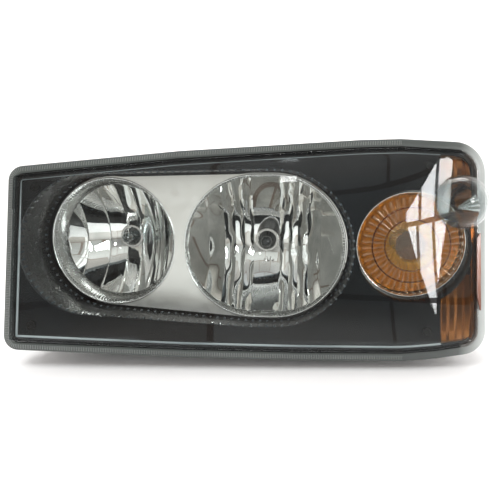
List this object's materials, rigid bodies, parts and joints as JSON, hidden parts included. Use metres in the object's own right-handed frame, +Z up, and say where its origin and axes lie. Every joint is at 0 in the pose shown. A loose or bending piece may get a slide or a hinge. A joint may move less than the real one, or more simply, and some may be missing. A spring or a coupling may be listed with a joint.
{
  "type": "car headlight assembly",
  "caption": "Rectangular vehicle headlamp with two halogen reflectors, amber turn signal, side marker bulb, clear swept lens, aiming screws and twist-off rear caps.",
  "frame": {"origin": "centre of the four mounting studs, on the plane of their pads at the back of the housing", "axes": "the lamp faces -Y, so the beam axes, bulbs and studs lie along Y with the studs pointing +Y; +X runs from the high beam towards the turn signal; +Z is up"},
  "size_m": [0.4582, 0.1867, 0.2111],
  "materials": {
    "black_pp": "fine moulded texture, satin black",
    "clear_lens": "clear polycarbonate, hard coated, polished",
    "sealant": "black butyl bead, soft sheen",
    "bezel_black": "glossy charcoal black",
    "dark_screws": "black oxide",
    "satin_plate": "satin metallised",
    "mirror_bright": "vacuum metallised, mirror bright",
    "carrier_grey": "glass filled nylon, matt",
    "zinc_steel": "zinc plated",
    "natural_nylon": "natural nylon, satin",
    "black_nylon": "black nylon, satin",
    "bulb_glass": "clear quartz",
    "bulb_metal": "pressed metal",
    "spring_wire": "spring steel wire",
    "cap_black": "black polypropylene, grained",
    "gasket_rubber": "soft black rubber",
    "mirror_dull": "metallised",
    "amber_clear": "amber acrylic, fluted",
    "amber_bulb": "amber coated glass",
    "holder_grey": "grey nylon",
    "amber_panel": "amber over metallised panel",
    "reflex_amber": "amber reflex prisms",
    "tinned_brass": "tinned brass"
  },
  "bodies": {
    "housing": {"housing_shell": "black_pp", "front_lens": "clear_lens", "lens_seal": "sealant", "bezel": "bezel_black", "bezel_screws": "dark_screws", "aim_bushes": "black_nylon", "high_cap_gasket": "gasket_rubber", "low_cap_gasket": "gasket_rubber", "turn_reflector": "mirror_dull", "turn_lens": "amber_clear", "turn_gasket": "gasket_rubber", "side_reflector_upper": "amber_panel", "side_reflector_lower": "amber_panel", "reflex_strip": "reflex_amber", "marker_cup": "mirror_dull", "marker_gasket": "gasket_rubber", "mounting_studs": "zinc_steel", "locating_pin": "zinc_steel", "main_connector": "black_nylon", "connector_pins": "tinned_brass", "breather_vents": "black_nylon"},
    "aim_gimbal": {"aim_bracket": "zinc_steel"},
    "reflector_unit": {"reflector_carrier": "carrier_grey", "trim_plate": "satin_plate", "high_beam_reflector": "mirror_bright", "low_beam_reflector": "mirror_bright", "high_bulb_glass": "bulb_glass", "high_bulb_base": "bulb_metal", "low_bulb_glass": "bulb_glass", "low_bulb_base": "bulb_metal"},
    "vertical_screw": {"vertical_aim_screw": "zinc_steel"},
    "vertical_nut": {"vertical_aim_nut": "natural_nylon"},
    "side_screw": {"side_aim_screw": "zinc_steel"},
    "side_nut": {"side_aim_nut": "natural_nylon"},
    "high_clip": {"high_bulb_clip": "spring_wire"},
    "low_clip": {"low_bulb_clip": "spring_wire"},
    "high_cap": {"high_rear_cap": "cap_black"},
    "low_cap": {"low_rear_cap": "cap_black"},
    "turn_socket": {"turn_holder": "holder_grey", "turn_bulb": "amber_bulb"},
    "marker_socket": {"marker_holder": "holder_grey", "marker_bulb": "amber_bulb"}
  },
  "joints": [
    {"name": "aim_side", "type": "hinge", "parent": "housing", "child": "aim_gimbal", "pos_m": [-0.066, -0.03, 0], "axis": [0, 0, 1], "range_deg": [-1.5, 1.5]},
    {"name": "aim_vertical", "type": "hinge", "parent": "aim_gimbal", "child": "reflector_unit", "pos_m": [-0.066, -0.03, 0], "axis": [1, 0, 0], "range_deg": [-1.5, 1.5]},
    {"name": "vertical_nut_travel", "type": "slide", "parent": "housing", "child": "vertical_nut", "axis": [0, 1, 0], "range_m": [-0.00178, 0.00178]},
    {"name": "vertical_screw_turn", "type": "hinge", "parent": "housing", "child": "vertical_screw", "pos_m": [-0.066, 0, 0.066], "axis": [0, 1, 0], "range_deg": [-315, 315]},
    {"name": "side_nut_travel", "type": "slide", "parent": "housing", "child": "side_nut", "axis": [0, 1, 0], "range_m": [-0.0046, 0.0046]},
    {"name": "side_screw_turn", "type": "hinge", "parent": "housing", "child": "side_screw", "pos_m": [0.104, 0, 0], "axis": [0, 1, 0], "range_deg": [-810, 810]},
    {"name": "high_clip_swing", "type": "hinge", "parent": "reflector_unit", "child": "high_clip", "pos_m": [-0.1395, -0.0018, -0.0138], "axis": [-1, 0, 0], "range_deg": [0, 38]},
    {"name": "low_clip_swing", "type": "hinge", "parent": "reflector_unit", "child": "low_clip", "pos_m": [0.017, 0.0072, -0.0175], "axis": [-1, 0, 0], "range_deg": [0, 38]},
    {"name": "high_cap_twist", "type": "hinge", "parent": "housing", "child": "high_cap", "pos_m": [-0.1395, 0.015, 0.0037], "axis": [0, 1, 0], "range_deg": [0, 60]},
    {"name": "low_cap_twist", "type": "hinge", "parent": "housing", "child": "low_cap", "pos_m": [0.017, 0.023, 0], "axis": [0, 1, 0], "range_deg": [0, 60]},
    {"name": "turn_socket_twist", "type": "hinge", "parent": "housing", "child": "turn_socket", "pos_m": [0.1605, -0.002, 0.004], "axis": [0, 1, 0], "range_deg": [0, 45]},
    {"name": "marker_socket_twist", "type": "hinge", "parent": "housing", "child": "marker_socket", "pos_m": [0.198, -0.034, 0.042], "axis": [0, 1, 0], "range_deg": [0, 45]}
  ],
  "couplings": [
    {"joint": "vertical_nut_travel", "follows": "aim_vertical", "m_per_rad": -0.066},
    {"joint": "vertical_screw_turn", "follows": "aim_vertical", "ratio": 207.35},
    {"joint": "side_nut_travel", "follows": "aim_side", "m_per_rad": 0.17},
    {"joint": "side_screw_turn", "follows": "aim_side", "ratio": -534.07}
  ]
}
